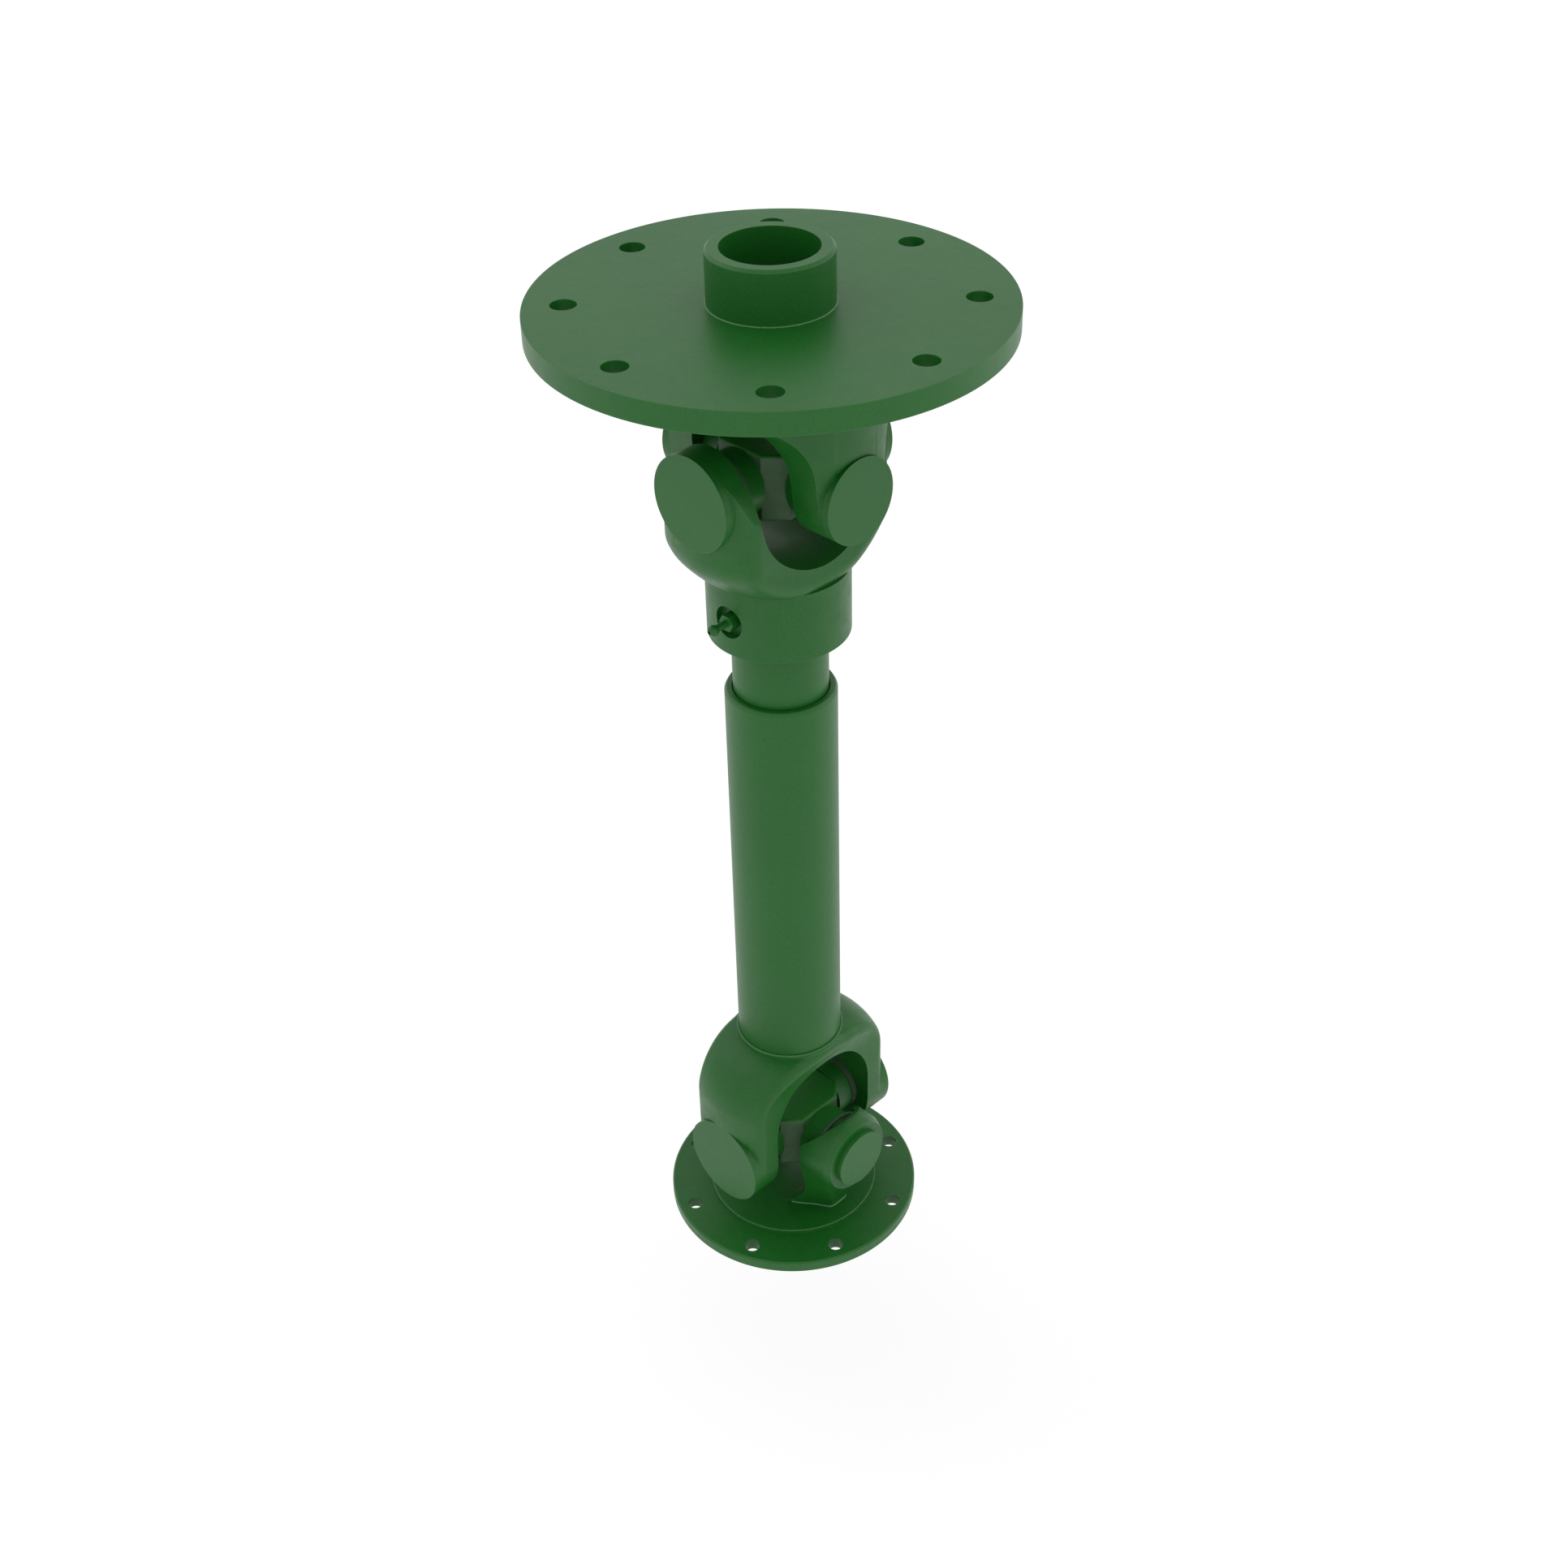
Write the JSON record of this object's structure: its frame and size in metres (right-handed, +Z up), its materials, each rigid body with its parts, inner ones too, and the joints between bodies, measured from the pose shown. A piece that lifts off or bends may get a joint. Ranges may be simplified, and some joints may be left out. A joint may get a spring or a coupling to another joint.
{
  "type": "telescoping double universal joint drive shaft",
  "caption": "Telescoping drive shaft with a universal joint at each end, a large bolted plate with a hub on top and a round bolted flange at the foot.",
  "frame": {"origin": "centre of the foot flange's underside", "axes": "+Z up along the shaft, X along the ears that the plate and the foot flange carry, Y along the ears of the two tube ends"},
  "size_m": [0.249, 0.249, 0.6492],
  "materials": {
    "green_paint": "satin green paint",
    "dark_steel": "dark bare forged steel",
    "bearing_steel": "ground",
    "bronze": "machined",
    "seal_rubber": "matt"
  },
  "bodies": {
    "plate": {"drive_plate": "green_paint", "hub_sleeve": "green_paint", "upper_flange_yoke": "green_paint", "plate_weld": "green_paint", "upper_cup_xp": "bearing_steel", "upper_rollers_xp": "bearing_steel", "upper_ear_cover_xp": "green_paint", "upper_cup_xn": "bearing_steel", "upper_rollers_xn": "bearing_steel", "upper_ear_cover_xn": "green_paint"},
    "upper_cross": {"upper_cross": "dark_steel", "upper_cross_seals": "seal_rubber", "upper_cross_guards": "green_paint"},
    "slip": {"slip_yoke": "green_paint", "grease_nipple": "green_paint", "splined_shaft": "green_paint", "upper_cup_yp": "bearing_steel", "upper_rollers_yp": "bearing_steel", "upper_ear_cover_yp": "green_paint", "upper_cup_yn": "bearing_steel", "upper_rollers_yn": "bearing_steel", "upper_ear_cover_yn": "green_paint"},
    "tube": {"outer_tube": "green_paint", "spline_sleeve": "bearing_steel", "guide_bush": "bronze", "wiper_ring": "seal_rubber", "tube_weld": "green_paint", "lower_tube_yoke": "green_paint", "lower_cup_yp": "bearing_steel", "lower_rollers_yp": "bearing_steel", "lower_ear_cover_yp": "green_paint", "lower_cup_yn": "bearing_steel", "lower_rollers_yn": "bearing_steel", "lower_ear_cover_yn": "green_paint"},
    "lower_cross": {"lower_cross": "dark_steel", "lower_cross_seals": "seal_rubber", "lower_cross_guards": "green_paint"},
    "lower_flange": {"lower_flange_yoke": "green_paint", "lower_cup_xp": "green_paint", "lower_rollers_xp": "bearing_steel", "lower_cup_xn": "green_paint", "lower_rollers_xn": "bearing_steel", "lower_cup_clips": "bearing_steel"}
  },
  "joints": [
    {"name": "upper_tilt_x", "type": "hinge", "parent": "plate", "child": "upper_cross", "pos_m": [0, 0, 0.5304], "axis": [1, 0, 0], "range_deg": [-20, 20]},
    {"name": "upper_tilt_y", "type": "hinge", "parent": "upper_cross", "child": "slip", "pos_m": [0, 0, 0.5304], "axis": [0, 1, 0], "range_deg": [-20, 20]},
    {"name": "telescope", "type": "slide", "parent": "slip", "child": "tube", "axis": [0, 0, 1], "range_m": [-0.1, 0.037]},
    {"name": "lower_tilt_y", "type": "hinge", "parent": "tube", "child": "lower_cross", "pos_m": [0, 0, 0.0639], "axis": [0, 1, 0], "range_deg": [-25, 25]},
    {"name": "lower_tilt_x", "type": "hinge", "parent": "lower_cross", "child": "lower_flange", "pos_m": [0, 0, 0.0639], "axis": [1, 0, 0], "range_deg": [-25, 25]}
  ]
}
